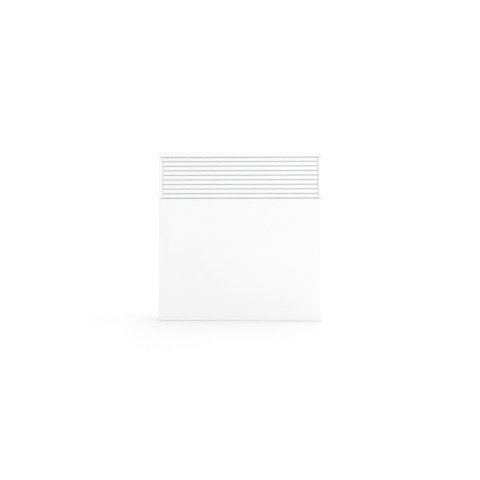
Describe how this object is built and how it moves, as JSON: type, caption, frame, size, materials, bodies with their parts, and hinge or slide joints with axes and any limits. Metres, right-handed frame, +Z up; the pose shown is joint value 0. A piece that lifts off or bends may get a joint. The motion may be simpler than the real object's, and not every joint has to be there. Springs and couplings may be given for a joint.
{
  "type": "wall panel convector heater",
  "caption": "White wall-hung panel convector heater: folded steel casing, louvred outlet near the top, inlet grille below, finned element, recessed knob and switch, wall bracket.",
  "frame": {"origin": "centre of the back face of the wall bracket's crossbar, on the wall plane, level with the middle of the casing", "axes": "+X to the right seen from the front, +Y into the wall, +Z up; the front panel faces -Y"},
  "size_m": [0.424, 0.098, 0.44],
  "materials": {
    "bracket_zinc": "zinc-plated pressed steel, dull spangle",
    "white_powder_coat": "white satin powder coat with a fine orange peel",
    "galvanised_sheet": "galvanised steel sheet",
    "bright_aluminium_sheet": "bright rolled aluminium sheet",
    "element_aluminium": "extruded aluminium, mill finish",
    "sheath_steel": "heat-tinted steel sheath",
    "zinc_screw": "bright zinc plate",
    "terminal_brass": "plain brass",
    "bush_ceramic": "unglazed ceramic",
    "black_moulding": "black moulded plastic, fine spark texture",
    "grommet_rubber": "matt black rubber",
    "tray_plastic": "mid-grey moulded plastic, fine spark texture",
    "knob_plastic": "white satin plastic",
    "lens_plastic": "clear red plastic",
    "white_moulding": "white nylon",
    "live_insulation": "brown lead insulation",
    "high_temperature_insulation": "white silicone insulation",
    "neutral_insulation": "blue lead insulation",
    "earth_insulation": "green lead insulation with a yellow stripe",
    "capillary_copper": "plain copper"
  },
  "bodies": {
    "wall_mount": {"wall_bracket": "bracket_zinc"},
    "casing": {"air_deflector": "galvanised_sheet", "bulb_clip": "zinc_screw", "cable_gland": "white_moulding", "control_partition": "galvanised_sheet", "control_tray": "tray_plastic", "cover_screw_left": "zinc_screw", "cover_screw_right": "zinc_screw", "cutout_lead": "high_temperature_insulation", "earth_lead": "earth_insulation", "earth_screw": "terminal_brass", "element_bracket_left": "galvanised_sheet", "element_bracket_right": "galvanised_sheet", "element_bush_left": "bush_ceramic", "element_bush_right": "bush_ceramic", "element_screw_left": "zinc_screw", "element_screw_right": "zinc_screw", "element_terminal_left": "terminal_brass", "element_terminal_right": "terminal_brass", "front_baffle": "bright_aluminium_sheet", "front_panel": "white_powder_coat", "gland_nut": "white_moulding", "heat_shield": "bright_aluminium_sheet", "heater_rod": "sheath_steel", "heating_element": "element_aluminium", "indicator_lens": "lens_plastic", "inlet_grille": "galvanised_sheet", "inlet_screw_front_left": "zinc_screw", "inlet_screw_front_right": "zinc_screw", "inlet_screw_rear_left": "zinc_screw", "inlet_screw_rear_right": "zinc_screw", "lead_grommet_lower": "grommet_rubber", "lead_grommet_upper": "grommet_rubber", "louvre_blade_1": "white_powder_coat", "louvre_blade_2": "white_powder_coat", "louvre_blade_3": "white_powder_coat", "louvre_blade_4": "white_powder_coat", "louvre_blade_5": "white_powder_coat", "louvre_blade_6": "white_powder_coat", "louvre_blade_7": "white_powder_coat", "louvre_blade_8": "white_powder_coat", "louvre_blade_9": "white_powder_coat", "neutral_lead": "neutral_insulation", "outlet_frame": "white_powder_coat", "rear_housing": "white_powder_coat", "sensing_bulb": "capillary_copper", "supply_live_lead": "live_insulation", "switch_housing": "black_moulding", "switch_lead": "live_insulation", "terminal_block": "white_moulding", "thermal_cutout": "black_moulding", "thermostat_body": "black_moulding", "thermostat_lead": "high_temperature_insulation", "top_cover": "white_powder_coat"},
    "knob": {"thermostat_knob": "knob_plastic", "thermostat_spindle": "zinc_screw"},
    "rocker": {"power_rocker": "black_moulding"}
  },
  "joints": [
    {"name": "lift_off", "type": "slide", "parent": "wall_mount", "child": "casing", "axis": [0, 0, 1], "range_m": [0, 0.012]},
    {"name": "thermostat_turn", "type": "hinge", "parent": "casing", "child": "knob", "pos_m": [0.138, -0.052, 0.2055], "axis": [0, 0, -1], "range_deg": [0, 285]},
    {"name": "rocker_tilt", "type": "hinge", "parent": "casing", "child": "rocker", "pos_m": [0.172, -0.052, 0.2067], "axis": [1, 0, 0], "range_deg": [0, 14]}
  ]
}
